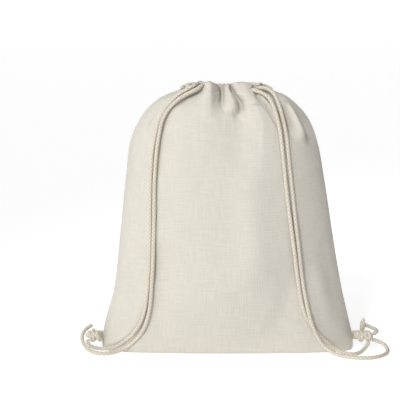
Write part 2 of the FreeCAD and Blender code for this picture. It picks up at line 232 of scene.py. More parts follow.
strandRoutes = {
    "leftInnerStrand": [
        (-0.0305, -0.0186, 0.3705), (-0.036, -0.0195, 0.371), (-0.038, -0.027, 0.3685),
        (-0.046, -0.0315, 0.3645),
        (-0.055, -0.0325, 0.36), (-0.064, -0.0325, 0.355), (-0.073, -0.034, 0.348),
        (-0.082, -0.0365, 0.338), (-0.0885, -0.04, 0.327),
        (-0.091, -0.0425, 0.3185), (-0.094, -0.0465, 0.303), (-0.097, -0.052, 0.282),
        (-0.099, -0.056, 0.255), (-0.1, -0.0595, 0.226), (-0.1, -0.0615, 0.195),
        (-0.101, -0.0625, 0.164), (-0.102, -0.061, 0.133), (-0.104, -0.057, 0.104),
        (-0.1055, -0.053, 0.08), (-0.1085, -0.049, 0.06), (-0.113, -0.044, 0.0435),
        (-0.12, -0.0385, 0.029), (-0.129, -0.0335, 0.018), (-0.139, -0.031, 0.009),
        (-0.149, -0.034, 0.0045), (-0.158, -0.04, 0.0032), (-0.1665, -0.0445, 0.0032),
        (-0.176, -0.045, 0.0032), (-0.185, -0.0405, 0.0034), (-0.193, -0.0325, 0.005),
        (-0.199, -0.025, 0.009), (-0.2025, -0.0185, 0.0145), (-0.203, -0.0125, 0.02),
        (-0.2005, -0.0065, 0.025), (-0.196, -0.001, 0.0285), (-0.1905, 0.003, 0.031),
    ],
    "leftOuterStrand": [
        (-0.0405, -0.0145, 0.3705), (-0.043, -0.0195, 0.371), (-0.046, -0.026, 0.3708),
        (-0.0532, -0.0292, 0.3672),
        (-0.0612, -0.0285, 0.3627), (-0.0692, -0.0285, 0.3572), (-0.078, -0.03, 0.3485),
        (-0.0866, -0.033, 0.3378), (-0.0930, -0.0363, 0.3262),
        (-0.0957, -0.0383, 0.3182), (-0.0990, -0.0425, 0.303), (-0.1026, -0.048, 0.282),
        (-0.1044, -0.0525, 0.255), (-0.1054, -0.0565, 0.226), (-0.1054, -0.0585, 0.195),
        (-0.1059, -0.0595, 0.164), (-0.1069, -0.058, 0.133), (-0.1089, -0.054, 0.103),
        (-0.1114, -0.0505, 0.08), (-0.1149, -0.0465, 0.06), (-0.1215, -0.041, 0.043),
        (-0.13, -0.0355, 0.0295), (-0.14, -0.0295, 0.0185), (-0.151, -0.025, 0.0095),
        (-0.162, -0.022, 0.0045), (-0.1715, -0.021, 0.0033), (-0.18, -0.022, 0.0038),
        (-0.188, -0.0238, 0.0062), (-0.194, -0.0225, 0.0105), (-0.1955, -0.0195, 0.0155),
    ],
    "rightInnerStrand": [
        (0.0265, -0.0185, 0.3648), (0.032, -0.0195, 0.3654), (0.034, -0.0278, 0.364),
        (0.0440, -0.032, 0.3615),
        (0.0530, -0.0345, 0.3562), (0.0590, -0.0385, 0.3462), (0.0632, -0.043, 0.334),
        (0.0660, -0.046, 0.3225), (0.0678, -0.0485, 0.315), (0.07, -0.053, 0.3),
        (0.072, -0.058, 0.279), (0.075, -0.0625, 0.251), (0.0785, -0.0655, 0.22),
        (0.083, -0.067, 0.187), (0.088, -0.0665, 0.152), (0.0925, -0.063, 0.119),
        (0.097, -0.0585, 0.09), (0.102, -0.0535, 0.068), (0.1085, -0.048, 0.052),
        (0.117, -0.042, 0.039), (0.1265, -0.0365, 0.0275), (0.136, -0.0325, 0.0175),
        (0.1445, -0.0315, 0.0095), (0.152, -0.035, 0.0048), (0.1595, -0.0415, 0.0033),
        (0.166, -0.0465, 0.0032), (0.173, -0.0475, 0.0032), (0.179, -0.0435, 0.0032),
        (0.1835, -0.037, 0.0034), (0.188, -0.031, 0.0055), (0.1925, -0.0265, 0.009),
        (0.1955, -0.0235, 0.013),
    ],
    "rightOuterStrand": [
        (0.0365, -0.0145, 0.3645), (0.039, -0.0195, 0.3654), (0.042, -0.0265, 0.368),
        (0.0525, -0.029, 0.3665),
        (0.0602, -0.031, 0.3608), (0.0655, -0.035, 0.3498), (0.0700, -0.0395, 0.336),
        (0.0732, -0.042, 0.323), (0.0752, -0.045, 0.315), (0.0775, -0.05, 0.3),
        (0.0795, -0.0555, 0.279), (0.0825, -0.06, 0.251), (0.086, -0.063, 0.22),
        (0.09, -0.065, 0.186), (0.0945, -0.064, 0.151), (0.0985, -0.061, 0.118),
        (0.103, -0.058, 0.091), (0.107, -0.0573, 0.073), (0.111, -0.0555, 0.0565),
        (0.116, -0.0503, 0.0415), (0.122, -0.0445, 0.0285), (0.1285, -0.0405, 0.017),
        (0.136, -0.0405, 0.0085), (0.1445, -0.0465, 0.0042), (0.153, -0.0545, 0.0032),
        (0.1635, -0.0615, 0.0032), (0.1765, -0.066, 0.0032), (0.19, -0.067, 0.0032),
        (0.202, -0.0625, 0.0032), (0.212, -0.0535, 0.0032), (0.219, -0.042, 0.0032),
        (0.2215, -0.031, 0.0044), (0.2195, -0.023, 0.008), (0.2135, -0.0185, 0.0115),
        (0.2065, -0.0175, 0.014), (0.201, -0.0175, 0.0155),
    ],
}


def smoothLine(points, perSpan=14):
    # a NURBS line with these control points, read back as the points along it
    curve = bpy.data.curves.new("line", "CURVE")
    curve.dimensions = "3D"
    curve.resolution_u = perSpan
    spline = curve.splines.new("NURBS")
    spline.points.add(len(points) - 1)
    for point, place in zip(spline.points, points):
        point.co = (*place, 1.0)
    spline.order_u = 3
    spline.use_endpoint_u = True
    holder = bpy.data.objects.new("line", curve)
    bpy.context.scene.collection.objects.link(holder)
    mesh = bpy.data.meshes.new_from_object(holder)
    line = np.array([v.co for v in mesh.vertices], float)
    bpy.data.objects.remove(holder)
    bpy.data.curves.remove(curve)
    bpy.data.meshes.remove(mesh)
    return line


def evenly(line, step):
    # the same line with points a step apart
    lengths = np.concatenate([[0], np.cumsum(np.linalg.norm(np.diff(line, axis=0), axis=1))])
    count = max(8, int(round(lengths[-1] / step)) + 1)
    at = np.linspace(0, lengths[-1], count)
    return np.stack([np.interp(at, lengths, line[:, axis]) for axis in range(3)], axis=1), at


def framesAlong(line):
    # directions across the line that turn as little as possible from point to point
    tangent = np.gradient(line, axis=0)
    tangent /= np.linalg.norm(tangent, axis=1)[:, None]
    side = np.cross(tangent[0], (0.3, 1.0, 0.2))
    side /= np.linalg.norm(side)
    sides = []
    for direction in tangent:
        side = side - direction * side.dot(direction)
        side /= np.linalg.norm(side)
        sides.append(side.copy())
    sides = np.array(sides)
    return sides, np.cross(tangent, sides)


braid = {
    "strands": 3,                   # wound each way
    "repeat": 5.6 * mm,             # length in which a strand goes once round
    "relief": 0.17,                 # depth of the grooves, as a share of the radius
    "dip": 0.38,                    # how far a strand sinks where it passes under another
    "crossing": 1.6,                # how sharply it goes from over to under
    "around": 22,
    "step": 0.9 * mm,
}


def braidedCord(name, line, radius=cordDiameter / 2, taper=None, flat=1.0):
    # a round braid: two families of strands wind opposite ways and pass over and under each other
    line, along = evenly(line, braid["step"])
    sides, ups = framesAlong(line)
    turn = np.linspace(0, 2 * math.pi, braid["around"], endpoint=False)
    s, theta = np.meshgrid(along, turn, indexing="ij")
    wind = 2 * math.pi * s / braid["repeat"]
    one = braid["strands"] * theta - wind
    other = braid["strands"] * theta + wind
    over = braid["dip"] * np.clip(braid["crossing"] * np.cos(one / 2) * np.cos(other / 2), -1, 1)
    heightOne = np.sqrt(0.5 + 0.5 * np.cos(one)) * (1 - braid["dip"] + over)
    heightOther = np.sqrt(0.5 + 0.5 * np.cos(other)) * (1 - braid["dip"] - over)
    height = np.maximum(heightOne, heightOther)
    size = np.ones(len(along)) if taper is None else np.array([taper(a / along[-1]) for a in along])
    reach = radius * size[:, None] * (1 - braid["relief"] * (1 - height))
    points = (line[:, None, :] + sides[:, None, :] * (reach * np.cos(theta))[:, :, None]
              + ups[:, None, :] * (reach * flat * np.sin(theta))[:, :, None])
    rows, columns = s.shape
    points = np.concatenate([points.reshape(-1, 3), line[:1], line[-1:]])
    faces = gridFaces(rows, columns, closed=True)
    first, last = rows * columns, rows * columns + 1
    for column in range(columns):
        nextColumn = (column + 1) % columns
        faces.append((first, nextColumn, column))
        faces.append((last, (rows - 1) * columns + column, (rows - 1) * columns + nextColumn))
    uvs = np.stack([theta.ravel() * radius, s.ravel()], axis=1)
    uvs = np.concatenate([uvs, [[0, 0], [0, along[-1]]]])
    piece = meshPiece(name, points, faces, uvs, cotton)
    # how deep each point lies in the braid's grooves, which the cord material darkens as painted shade
    groove = piece.data.attributes.new("groove", "FLOAT", "POINT")
    groove.data.foreach_set("value", np.concatenate([(1 - height).ravel(), [0, 0]]).astype(np.float32))
    return piece, line, along[-1]


strands = {}
for strandName, route in strandRoutes.items():
    strands[strandName] = braidedCord(strandName, smoothLine(route))
    print(strandName, "length in millimetres", round(strands[strandName][2] * 1000, 1))


knots = {
    "ring": 5.4 * mm,
    "cord": 3.3 * mm,
    "pitch": 5.2 * mm,
    "lean": math.tan(math.radians(24)),
    "left": {"centre": (-186 * mm, -17 * mm, 20.5 * mm), "turns": 3},
    "right": {"centre": (189.5 * mm, -17 * mm, 20.5 * mm), "turns": 4},
}


def knotLine(centre, turns):
    # the cord comes in along the middle, winds round itself and goes back through the middle
    half = knots["pitch"] * turns / 2
    points = [(-half - 2 * mm, 0, 0), (-half, 1.5 * mm, 1 * mm)]
    for step in range(turns * 8 + 1):
        angle = 2 * math.pi * step / 8
        out = knots["ring"] * min(1.0, 0.6 + 0.2 * step, 0.6 + 0.2 * (turns * 8 - step))
        y, z = out * math.cos(angle), out * math.sin(angle)
        leaning = knots["lean"] * z * math.cos(angle / 2 + 0.6)
        points.append((-half + knots["pitch"] * step / 8 + leaning, y, z))
    points += [(half - 2 * mm, 0.5 * mm, 0), (0, 0, 0.5 * mm), (-half + 2 * mm, 0, 0)]
    return smoothLine([tuple(c + p for c, p in zip(centre, point)) for point in points])


tails = {
    "leftTail": [(-0.1875, -0.0035, 0.0095), (-0.1875, -0.0035, 0.019), (-0.1879, -0.003, 0.0275)],
    "rightTail": [(0.1875, -0.0035, 0.0095), (0.1875, -0.0035, 0.027), (0.19, -0.0065, 0.044)],
    "rightLongTail": [(0.1865, -0.0018, 0.0340), (0.1905, -0.0016, 0.0328), (0.196, -0.0012, 0.0310),
                      (0.202, -0.0032, 0.029), (0.2075, -0.0075, 0.027), (0.208, -0.0135, 0.025),
                      (0.203, -0.017, 0.024)],
}


def leafTaper(share):
    # the trimmed end is pressed flat and comes to a blunt tip
    return float(np.interp(share, (0, 0.35, 0.58, 0.78, 0.92, 1), (0.85, 0.9, 1.45, 1.45, 1.0, 0.4)))


def roundTip(share):
    return 1 - 0.45 * max(0, share - 0.85) / 0.15


leftKnot = braidedCord("leftKnot", knotLine(**knots["left"]), knots["cord"])[0]
rightKnot = braidedCord("rightKnot", knotLine(**knots["right"]), knots["cord"])[0]
leftTail = braidedCord("leftTail", smoothLine(tails["leftTail"]), taper=roundTip)[0]
rightTail = braidedCord("rightTail", smoothLine(tails["rightTail"]), taper=leafTaper, flat=0.5)[0]
rightLongTail = braidedCord("rightLongTail", smoothLine(tails["rightLongTail"]))[0]
print("cords, knots and tails made")


bag = {
    # height, left edge, right edge, half depth, fullness: 1 is an ellipse, more is pointed at the sides
    "sections": [
        (0, -173.5, 173.5, 34, 0.46), (5, -175.5, 175.5, 37.5, 0.52), (12, -175.5, 175.5, 41, 0.64),
        (36, -171.5, 170.5, 52, 1.00),
        (87, -158, 158.5, 68, 1.10), (162, -149, 145, 78, 1.05), (238, -141, 132.5, 74, 1.00),
        (288, -135, 123, 64, 1.00), (322, -121, 110, 51, 0.95), (347, -99, 88, 38, 0.90),
        (356, -83, 75, 31.5, 0.86), (362, -67, 60, 26.5, 0.80), (368, -58, 51.5, 24, 0.73),
        (380, -53, 47.5, 23, 0.70),
    ],
    # height of the folded rim, by its place along x
    "strapRim": [(-60, 370), (-51, 371), (-49.5, 370.5), (-48, 367), (-46, 361.5), (-36, 361.5), (-33.5, 367),
                 (-31, 374.5), (-27, 376), (-22, 374.5), (-12, 370), (-9.5, 367.5), (-7, 369), (-3, 370), (2, 372.5),
                 (8, 374), (15, 375), (22, 374.5), (27, 372), (28.8, 369), (31, 360.5), (42, 360.5), (44, 363),
                 (46, 369), (50, 370), (60, 368)],
    "farRim": [(-60, 369), (-50, 371.5), (-38, 373), (-29, 371.5), (-20, 365.5), (-10, 363.5), (1, 364), (10, 367.5),
               (22, 368.5), (35, 368.5), (45, 367), (60, 365)],
    "rimRadius": 4.6,
    "hemBottom": 347.0,
    "foldsBegin": 290.0,            # above this the rows lie closer, to carry the gathers
    "columns": 280,
    "baseRows": 8,
    "footRows": 4,
    "lowRows": 84,
    "highRows": 49,
    "rollRows": 10,                 # over the folded rim
    "hemRows": 8,
    "clothThickness": 0.9 * mm,
    "flatWidth": 0.376,
    "flatLength": 0.455,
}

# folds of the strap side: points (x, z), width, height out of the surface (negative is inwards)
strapFolds = [
    # small tucks beside the left strap
    ([(-56, 352), (-63, 347), (-70, 341)], 2.2, -3.0),
    ([(-56, 346), (-67, 337)], 4.0, 1.8),
    ([(-97, 331), (-103, 323), (-108, 314)], 2.2, -3.0),
    ([(-92, 336), (-112, 318), (-122, 300)], 6.0, 1.8),
    # the end of the casing's cloth, drawn out beside the right strap, with a deep tuck along it
    ([(33, 366), (38, 356), (46, 346), (56, 333), (64, 318)], 2.2, -8.0),
    ([(38, 362), (45, 354), (53, 344), (60, 333)], 4.0, 3.5),
    # right of the right strap the cloth is drawn into a long crest with a hollow inside it
    ([(71, 350), (83, 331), (94, 311), (103, 293)], 6.0, 10.0),
    ([(62, 358), (70, 342), (78, 322), (86, 302)], 5.5, -9.0),
    ([(64, 358), (72, 348)], 4.0, -4.0),
    ([(72, 346), (81, 342)], 2.2, 2.0),
    ([(98, 330), (108, 308), (115, 285)], 8.0, -4.0),
    # the stuffing stands furthest out right of the middle, and the bottom corners pull
    ([(24, 300), (32, 250), (34, 150), (28, 60)], 24.0, 4.5),
    ([(-30, 330), (-55, 290), (-72, 230)], 24.0, 2.4),
    ([(-80, 280), (-82, 180), (-80, 90)], 14.0, -1.5),
    ([(-152, 22), (-122, 60), (-98, 120)], 13.0, 2.2),
    ([(-152, 50), (-130, 96)], 11.0, -2.2),
    ([(152, 24), (130, 70), (114, 140)], 13.0, 2.4),
    ([(156, 54), (140, 110), (128, 170)], 11.0, -2.4),
    ([(60, 30), (78, 70), (84, 120)], 14.0, -2.0),
]

# the gathers at the middle of the mouth, strap side.  Each row is one height, each place in a row one line down
# the cloth: outer puff, edge of the tucked-in part, first slit, ridge, second slit, outer puff; x, then out
mouthRelief = {
    378: ([-42, -34, -30, -25, -22.5, -20.5, -16, -13, -12, -8, -6.5, -4, -1.5, -0.5, 0.7, 2.2, 3.5, 10, 20, 30, 42],
          [0, 1.5, 4.5, 5, 4, 1.5, -5, -9, -17, -17, -2, 3, 3, 1, -7, -7, 0, 3.5, 4.5, 3.5, 0]),
    366: ([-42, -34, -30, -25, -22.5, -20.5, -16, -12.8, -12, -7.5, -6, -3, 0, 1.0, 2.2, 5.2, 6.6, 12, 22, 32, 44],
          [0, 1.5, 5, 5.5, 4.5, 1.5, -5.5, -10.5, -20, -20, -3, 3, 3, 0.5, -10, -10, -0.5, 4, 5.5, 3, 0]),
    357: ([-43, -35, -30, -25, -22.5, -20.5, -16, -12.8, -12, -7.3, -5.6, -2, 3, 6.6, 8.4, 11.6, 13.2, 19, 28, 38, 50],
          [0, 1.5, 5, 5.5, 4.5, 1.5, -5.5, -10.5, -20, -20, -4, 2.5, 3, 1, -12, -12, -1, 4.5, 6, 3, 0]),
    350: ([-44, -36, -30, -25, -22, -20, -15.5, -12.8, -12, -7.8, -5, 0, 7, 11.5, 13.8, 18.2, 20.2, 26, 34, 44, 56],
          [0, 1.5, 5, 5, 3.5, 0, -6, -10, -16, -16, -4, 1.5, 2.5, -1, -14, -15, -2, 4, 6, 3, 0]),
    343: ([-46, -37, -30, -25, -21, -18, -14, -11, -9.5, -7.5, -3, 3, 8, 12, 15.5, 20.5, 23, 28, 35, 47, 59],
          [0, 1.5, 4, 3.5, 1.5, -1, -3, -4, -5, -5, -2.5, -0.5, -1, -5, -12, -13, -2, 3.5, 5.5, 3, 0]),
    335: ([-48, -38, -30, -24, -19, -15, -11, -8, -6, -4, -1, 3, 7, 11, 14, 18, 23, 30, 40, 52, 64],
          [0, 1.5, 3, 2.5, 1, -0.5, -1.5, -2, -2, -2, -2, -3, -6, -8, -8, -6, -1, 2.5, 4.5, 2.5, 0]),
    322: ([-50, -40, -31, -24, -18, -13, -9, -6, -3, 0, 4, 9, 13, 17, 20, 24, 29, 36, 45, 58, 70],
          [0, 1.2, 1.5, 1, 0.2, -0.8, -1.5, -2, -2.6, -3.2, -4, -4.6, -5, -5, -4.6, -3.5, -1.5, 1, 3, 2, 0]),
    295: ([-50, -40, -31, -24, -18, -13, -9, -6, -3, 0, 4, 9, 13, 17, 20, 24, 29, 36, 45, 58, 70],
          [0, 0.5, 0.5, 0.2, 0, -0.5, -1, -1.4, -1.8, -2.3, -2.8, -3.2, -3.5, -3.5, -3.2, -2.6, -1.5, 0, 1.5, 1, 0]),
    250: ([-50, -40, -31, -24, -18, -13, -9, -6, -3, 0, 4, 9, 13, 17, 20, 24, 29, 36, 45, 58, 70], [0] * 21),
}


def farFolds():
    # the far side has no straps: its gathers run down and out from the mouth, no two alike
    chance = random.Random(11)
    folds = []
    for index in range(13):
        x = -44 + 7 * index + chance.uniform(-1.5, 1.5)
        drop = chance.uniform(30, 85)
        spread = 1 + chance.uniform(0.5, 0.9)
        line = [(x, 380), (x * 1.12, 358), (x * (1 + (spread - 1) * 0.6), 358 - drop * 0.5), (x * spread, 358 - drop)]
        out = chance.uniform(2.0, 4.5) * (1 if index % 2 else -1.2)
        folds.append((line, chance.uniform(2.8, 5.5), out))
    folds += [([(-150, 24), (-118, 64), (-90, 118)], 15.0, 1.8), ([(152, 28), (124, 72), (104, 120)], 15.0, 1.8),
              ([(5, 330), (0, 280), (-6, 230)], 22.0, -1.6)]
    return folds


def smoothStep(value):
    value = np.clip(value, 0, 1)
    return value * value * (3 - 2 * value)


def smoothed(values, width):
    # running average over an odd number of neighbours
    weights = np.hanning(width) / np.hanning(width).sum()
    return np.convolve(np.pad(values, width // 2, mode="edge"), weights, mode="valid")


def foldHeight(x, z, folds):
    # how far the cloth stands out at each place, from all folds together
    height = np.zeros_like(x)
    for line, width, out in folds:
        line = np.array(line, float)
        nearest = np.full(x.shape, 1e9)
        share = np.zeros_like(x)
        lengths = np.linalg.norm(np.diff(line, axis=0), axis=1)
        travelled = 0.0
        for start, end, length in zip(line, line[1:], lengths):
            along = np.clip(((x - start[0]) * (end[0] - start[0]) + (z - start[1]) * (end[1] - start[1]))
                            / length ** 2, 0, 1)
            gap = np.hypot(x - start[0] - along * (end[0] - start[0]), z - start[1] - along * (end[1] - start[1]))
            closer = gap < nearest
            nearest = np.where(closer, gap, nearest)
            share = np.where(closer, (travelled + along * length) / lengths.sum(), share)
            travelled += length
        startsAtRim = line[0][1] >= 376
        ends = smoothStep((1 - share) / 0.3) * (1 if startsAtRim else smoothStep(share / 0.3))
        height += out * np.exp(-(nearest / width) ** 2) * (0.15 + 0.85 * ends)
    return height


def reliefHeight(x, z, relief):
    # between two heights both the lines and how far they stand out change smoothly
    heights = sorted(relief)
    across, out = (np.array([relief[height][part] for height in heights], float) for part in (0, 1))
    places = [np.interp(z, heights, across[:, line]) for line in range(across.shape[1])]
    outs = [np.interp(z, heights, out[:, line]) for line in range(out.shape[1])]
    total = outs[0].copy()
    for line in range(len(places) - 1):
        share = np.clip((x - places[line]) / (places[line + 1] - places[line]), 0, 1)
        total += (outs[line + 1] - outs[line]) * (0.5 * share + 0.5 * smoothStep(share))
    return total


def unevenness(x, z, seed):
    # stuffed cloth is never quite even: long shallow swells with a little fine crumple
    chance = random.Random(seed)
    height = np.zeros_like(x)
    for length, size in ((170, 1.1), (120, 0.8), (85, 0.5), (58, 0.28), (36, 0.13), (24, 0.08), (17, 0.06)):
        for again in range(4):
            way = math.pi * (again + chance.uniform(0, 1)) / 4
            start = chance.uniform(0, 2 * math.pi)
            height += size * np.sin(2 * math.pi * (x * math.cos(way) + z * math.sin(way)) / length + start) / 2
    return height


def pchip(xs, ys, at):
    # smooth line through the points that never overshoots them
    xs, ys = np.asarray(xs, float), np.asarray(ys, float)
    step, slope = np.diff(xs), np.diff(ys) / np.diff(xs)
    tangent = np.zeros_like(ys)
    for i in range(1, len(xs) - 1):
        if slope[i - 1] * slope[i] > 0:
            one, two = 2 * step[i] + step[i - 1], step[i] + 2 * step[i - 1]
            tangent[i] = (one + two) / (one / slope[i - 1] + two / slope[i])
    tangent[0], tangent[-1] = slope[0], slope[-1]
    at = np.clip(at, xs[0], xs[-1])
    i = np.clip(np.searchsorted(xs, at, side="right") - 1, 0, len(step) - 1)
    t = (at - xs[i]) / step[i]
    return (ys[i] * (1 + 2 * t) * (1 - t) ** 2 + tangent[i] * step[i] * t * (1 - t) ** 2
            + ys[i + 1] * t * t * (3 - 2 * t) + tangent[i + 1] * step[i] * t * t * (t - 1))


sectionColumns = np.array(bag["sections"], float).T


def sectionAt(z):
    return [pchip(sectionColumns[0], sectionColumns[k], z) for k in range(1, 5)]


def panelGrid(side, folds, rimTable, seed, relief):
    # rows go from the bottom seam over the base, up the face, over the folded rim and down inside as the hem
    theta = np.linspace(0, math.pi, bag["columns"])
    rimX = sectionAt(np.full(theta.shape, 372.0))
    rimAcross = (rimX[0] + rimX[1]) / 2 - (rimX[1] - rimX[0]) / 2 * np.cos(theta)
    rim = np.interp(rimAcross, *np.array(rimTable, float).T)
    rim = smoothed(rim, 5)
    radius = bag["rimRadius"]
    begin = bag["foldsBegin"]
    low = np.concatenate([np.linspace(0, 6, bag["footRows"]), np.linspace(9, begin, bag["lowRows"])])
    high = np.linspace(0, 1, bag["highRows"] + 1)[1:]
    roll = np.linspace(0, math.pi, bag["rollRows"] + 1)[1:]
    hem = np.linspace(0, 1, bag["hemRows"] + 1)[1:]
    places = []
    for z in low:
        places.append(np.full(theta.shape, z))
    for t in high:
        places.append(begin + (rim - radius - begin) * t)
    inset = [np.zeros_like(theta)] * len(places)
    lift = [np.zeros_like(theta)] * len(places)
    for angle in roll:
        places.append(rim - radius)
        inset.append(np.full(theta.shape, radius * (1 - math.cos(angle))))
        lift.append(np.full(theta.shape, radius * math.sin(angle)))
    for t in hem:
        places.append(rim - radius + (bag["hemBottom"] - rim + radius) * t)
        inset.append(np.full(theta.shape, 2 * radius + 1.5 * t * t))
        lift.append(np.zeros_like(theta))
    z, inset, lift = np.array(places), np.array(inset), np.array(lift)
    face = len(low) + len(high)
    zBase = z.copy()
    zBase[face:] = z[face - 1]
    left, right, depth, fullness = sectionAt(zBase)
    x = (left + right) / 2 - (right - left) / 2 * np.cos(theta)
    y = side * depth * np.sin(theta) ** fullness
    points = np.stack([x, y, zBase], axis=-1)
    acrossWay = np.gradient(points, axis=1)
    upWay = np.gradient(points, axis=0)
    upWay[face:] = upWay[face - 2]
    normal = np.cross(acrossWay, upWay)
    normal /= np.linalg.norm(normal, axis=-1)[..., None] + 1e-12
    normal *= np.where((normal[..., 1] * side) < 0, -1, 1)[..., None]
    atSeam = smoothStep(np.sin(theta) / 0.22)
    atFloor = smoothStep((zBase - 3) / 22)
    out = foldHeight(x, zBase + lift, folds) + unevenness(x, zBase, seed) * smoothStep((372 - zBase) / 30)
    if relief:
        out += reliefHeight(x, zBase + lift, relief)
    pucker = 0.7 * np.sin(zBase * 2 * math.pi / 17 + seed) * (1 - smoothStep(np.sin(theta) / 0.3)) * np.sin(theta)
    out = (out * atSeam + pucker) * atFloor
    inHem = np.clip(inset / (2 * radius), 0, 1)
    # the inner ply and the cord follow the folds only loosely
    dips = np.minimum(out, 0)
    even = np.array([smoothed(row, 31) for row in dips])
    out = out * (1 - inHem) + even * inHem
    flatNormal = normal.copy()
    flatNormal[..., 2] *= np.where(zBase > 345, 0.25, 1.0)
    flatNormal /= np.linalg.norm(flatNormal, axis=-1)[..., None]
    inward = flatNormal.copy()
    inward[..., 2] = 0
    inward /= np.linalg.norm(inward, axis=-1)[..., None]
    points = points + flatNormal * out[..., None] - inward * inset[..., None]
    points[..., 2] += lift
    points[face + len(roll):, :, 2] = z[face + len(roll):]
    baseRows = []
    for share in np.linspace(0, 1, bag["baseRows"] + 1)[:-1]:
        row = points[0].copy()
        row[:, 1] *= share
        baseRows.append(row)
    return np.concatenate([np.array(baseRows), points])


pressing = {"margin": 10 * mm, "extra": 0.1 * mm, "tries": 4, "gap": 0.2 * mm}


def pressUnderCords(points, outward, lines, clearance):
    # cloth under a cord gives way to it
    every = np.concatenate(lines)
    tree = kdtree.KDTree(len(every))
    for index, place in enumerate(every):
        tree.insert(place, index)
    tree.balance()
    flat = points.reshape(-1, 3)
    ways = outward.reshape(-1, 3)
    low, high = every.min(axis=0) - pressing["margin"], every.max(axis=0) + pressing["margin"]
    close = np.nonzero(((flat > low) & (flat < high)).all(axis=1))[0]
    for index in close:
        place = flat[index]
        for again in range(pressing["tries"]):
            found, number, gap = tree.find(place)
            if gap >= clearance:
                break
            place = place - ways[index] * (clearance - gap + pressing["extra"])
        flat[index] = place
    return flat.reshape(points.shape)


def gridNormals(points):
    normal = np.cross(np.gradient(points, axis=1), np.gradient(points, axis=0))
    return normal / (np.linalg.norm(normal, axis=-1)[..., None] + 1e-12)


def clothPanel(name, side, folds, rimTable, seed, relief):
    grid = panelGrid(side, folds, rimTable, seed, relief) * mm
    outward = gridNormals(grid) * (1 if side < 0 else -1)
    lines = [made[1] for made in strands.values()]
    grid = pressUnderCords(grid, outward, lines, cordDiameter / 2 + pressing["gap"])
    grid[..., 2] = np.maximum(grid[..., 2], 0)
    rows, columns = grid.shape[:2]
    faces = gridFaces(rows, columns)
    if side > 0:
        faces = [face[::-1] for face in faces]
    steps = np.linalg.norm(np.diff(grid[:, columns // 2], axis=0), axis=1)
    along = np.concatenate([[0], np.cumsum(steps)])
    u, v = np.meshgrid(np.linspace(0, bag["flatWidth"], columns), along)
    if side > 0:
        u = u + 0.7
    piece = meshPiece(name, grid.reshape(-1, 3), faces, np.stack([u.ravel(), v.ravel()], axis=1), cloth)
    area = sum(polygon.area for polygon in piece.data.polygons)
    print(name, "cloth area in square metres", round(area, 4), "rows", rows, "length", round(along[-1], 3))
    applyModifier(piece, "SOLIDIFY", thickness=bag["clothThickness"], offset=-1.0, use_even_offset=False)
    return piece, grid


backPanelCloth, backGrid = clothPanel("backPanelCloth", -1, strapFolds, bag["strapRim"], 3, mouthRelief)
frontPanelCloth, frontGrid = clothPanel("frontPanelCloth", 1, farFolds(), bag["farRim"], 8, None)
print("bag cloth made")


casingCords = {
    # height of the cord's middle by its place along x: on the strap side, and on the far side
    "leftCordInCasing": {"strapSide": [(-58, 366), (-50, 366), (-47, 367.5), (-34, 371), (-28, 370.5), (-21, 369),
                                       (-12, 365.5), (-9, 363.5), (-5, 365), (3, 367.5), (12, 370), (30, 371),
                                       (43, 371), (48, 366), (60, 364)],
                         "farSide": [(-60, 366), (0, 366), (60, 364)], "gap": (-47.5, -34)},
    "rightCordInCasing": {"strapSide": [(-58, 360), (-46, 362), (-38, 365), (-28, 364.5), (-21, 363), (-12, 359.5),
                                        (-9, 358), (-5, 359), (3, 362), (12, 364), (27, 364.5), (45, 364.5),
                                        (50, 360), (60, 358)],
                          "farSide": [(-60, 360), (0, 360), (60, 358)], "gap": (28, 45)},
}
casingSpace = {"behind": 0.8 * mm, "reach": 6 * mm}
faceRows = slice(bag["baseRows"], bag["baseRows"] + bag["footRows"] + bag["lowRows"] + bag["highRows"])


def midHemLine(grid, table):
    # half way between the two plies of the casing, at the cord's height
    outer, inner = grid[faceRows], grid[faceRows.stop + bag["rollRows"] - 1:]
    line = []
    for column in range(grid.shape[1]):
        height = np.interp(outer[-1, column, 0] / mm, *np.array(table, float).T) * mm
        plies = []
        for ply in (outer[:, column], inner[::-1, column]):
            plies.append([np.interp(height, ply[:, 2], ply[:, axis]) for axis in (0, 1)])
        middle = np.mean(plies, axis=0)
        line.append((middle[0], middle[1], height, plies[0][1]))
    line = np.array(line)
    # where a gather tucks the outer ply in, the cord is pushed in behind it
    side = 1 if line[:, 1].mean() < 0 else -1
    tucked = side * line[:, 3] + cordDiameter / 2 + bag["clothThickness"] + casingSpace["behind"]
    across = np.abs(line[:, None, 0] - line[None, :, 0])
    tucked = np.max(np.where(across < casingSpace["reach"], tucked[None, :], -1), axis=1)
    line[:, 1] = side * np.maximum(side * line[:, 1], tucked)
    return line[:, :3]


def casingCord(name, strapSide, farSide, gap):
    near, far = midHemLine(backGrid, strapSide), midHemLine(frontGrid, farSide)[::-1]
    low, high = gap[0] * mm, gap[1] * mm
    line = np.concatenate([near[near[:, 0] > high], far[1:-1], near[near[:, 0] < low]])
    line = evenly(line, 1 * mm)[0]
    line = np.stack([smoothed(line[:, axis], 15) for axis in range(3)], axis=1)
    return braidedCord(name, line)[0]


leftCordInCasing = casingCord("leftCordInCasing", **casingCords["leftCordInCasing"])
rightCordInCasing = casingCord("rightCordInCasing", **casingCords["rightCordInCasing"])
print("cords in the casing made")


stitching = {"length": 3.4 * mm, "pitch": 5.5 * mm, "thickness": 0.9 * mm, "height": 359.5 * mm,
             "around": 6, "rings": 5}


def levelLine(grid, height):
    # where each column of the face crosses a height, below the rim
    face = grid[faceRows]
    line = []
    for column in range(face.shape[1]):
        line.append([np.interp(height, face[:, column, 2], face[:, column, axis]) for axis in range(3)])
    return np.array(line)


